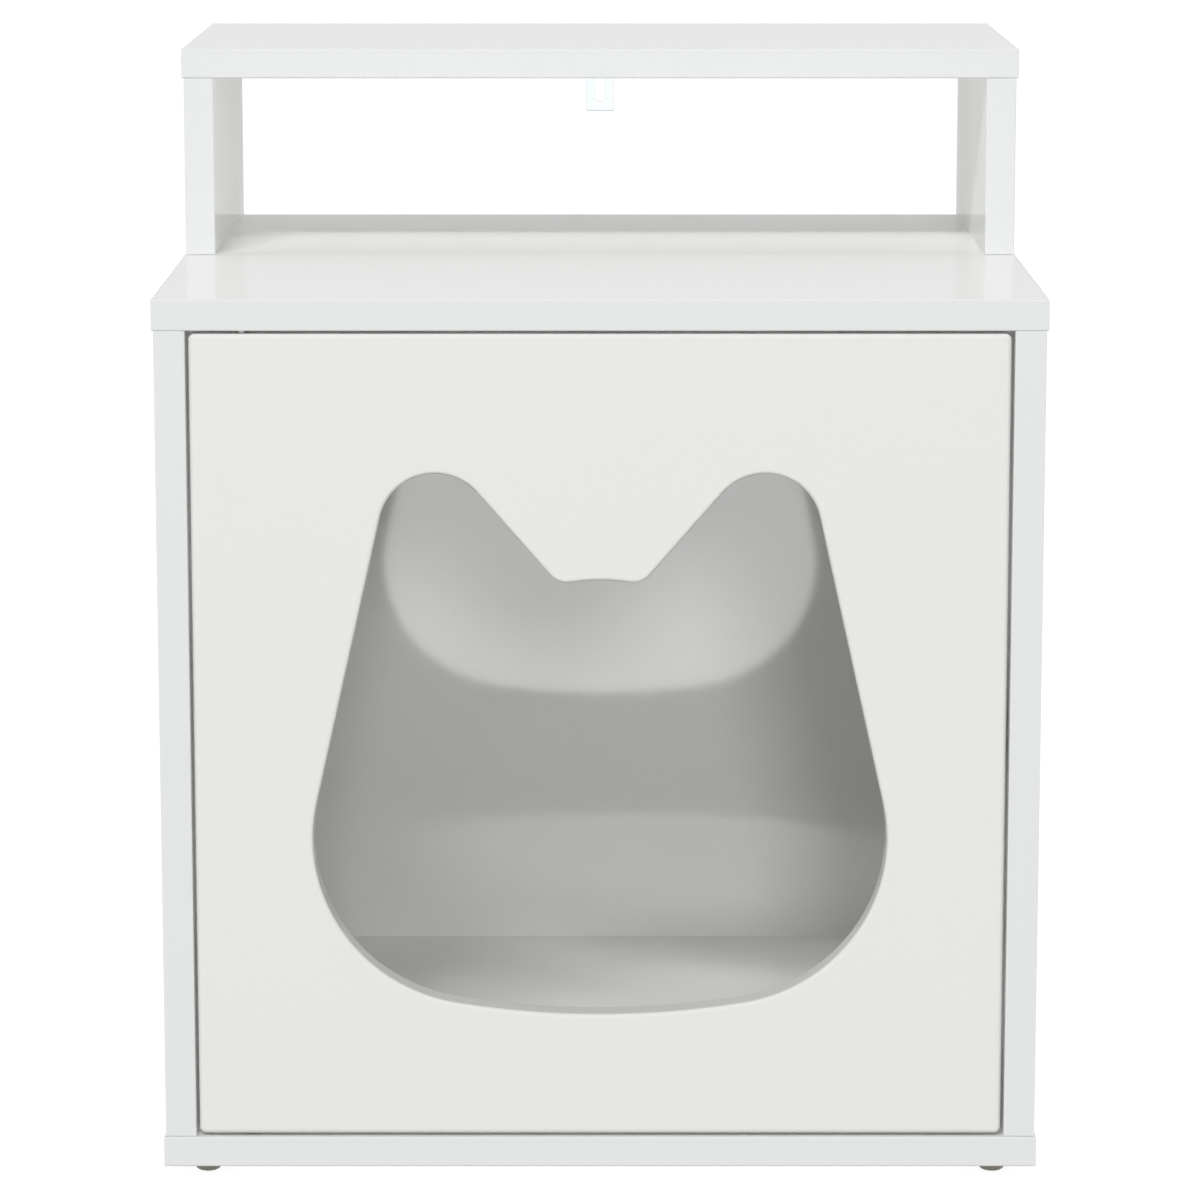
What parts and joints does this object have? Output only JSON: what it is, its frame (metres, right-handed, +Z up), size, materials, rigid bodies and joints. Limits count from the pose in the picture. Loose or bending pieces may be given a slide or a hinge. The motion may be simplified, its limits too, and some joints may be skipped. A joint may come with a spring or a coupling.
{
  "type": "cat house",
  "caption": "White flat-pack cat house: a box on small feet with a cat-head opening in its swinging inset door, and a raised open shelf on its top.",
  "frame": {"origin": "middle of the footprint, on the floor under the feet", "axes": "+X to the right seen from the front, +Y from the door to the back panel, +Z up"},
  "size_m": [0.425, 0.4, 0.537],
  "materials": {
    "coated_board": "white high-gloss laminate on particleboard",
    "edge_band": "glossy white plastic edge band",
    "door_front": "white membrane-pressed board, satin gloss",
    "back_board": "white-faced hardboard",
    "foot_plastic": "matt taupe plastic",
    "clear_plastic": "clear moulded plastic",
    "dowel_wood": "fluted beech",
    "zinc_steel": "zinc-plated steel",
    "cap_plastic": "white moulded plastic",
    "bush_plastic": "natural nylon",
    "magnet_dark": "dark sintered ferrite"
  },
  "bodies": {
    "cabinet": {"base_board": "coated_board", "top_board": "coated_board", "shelf_board": "coated_board", "left_side_panel": "coated_board", "right_side_panel": "coated_board", "left_riser_panel": "coated_board", "right_riser_panel": "coated_board", "base_board_edge_bands": "edge_band", "top_board_edge_bands": "edge_band", "shelf_board_edge_bands": "edge_band", "left_side_edge_band": "edge_band", "right_side_edge_band": "edge_band", "left_riser_edge_bands": "edge_band", "right_riser_edge_bands": "edge_band", "back_panel": "back_board", "front_left_foot": "foot_plastic", "front_right_foot": "foot_plastic", "rear_left_foot": "foot_plastic", "rear_right_foot": "foot_plastic", "wall_bracket": "clear_plastic", "carcass_dowels": "dowel_wood", "riser_dowels": "dowel_wood", "carcass_cam_locks": "zinc_steel", "carcass_cam_bolts": "zinc_steel", "riser_screws": "zinc_steel", "back_panel_nails": "zinc_steel", "foot_nails": "zinc_steel", "wall_bracket_screw": "zinc_steel", "lower_pivot_pin": "zinc_steel", "upper_pivot_pin": "zinc_steel", "catch_pole_plates": "zinc_steel", "catch_screws": "zinc_steel", "carcass_cam_covers": "cap_plastic", "catch_housing": "cap_plastic", "catch_magnet": "magnet_dark"},
    "door": {"door_panel": "door_front", "lower_pivot_bush": "bush_plastic", "upper_pivot_bush": "bush_plastic", "strike_plate": "zinc_steel", "strike_screw": "zinc_steel"}
  },
  "joints": [
    {"name": "door_hinge", "type": "hinge", "parent": "cabinet", "child": "door", "pos_m": [-0.17, -0.1925, 0.2195], "axis": [0, 0, -1], "range_deg": [0, 145]}
  ]
}
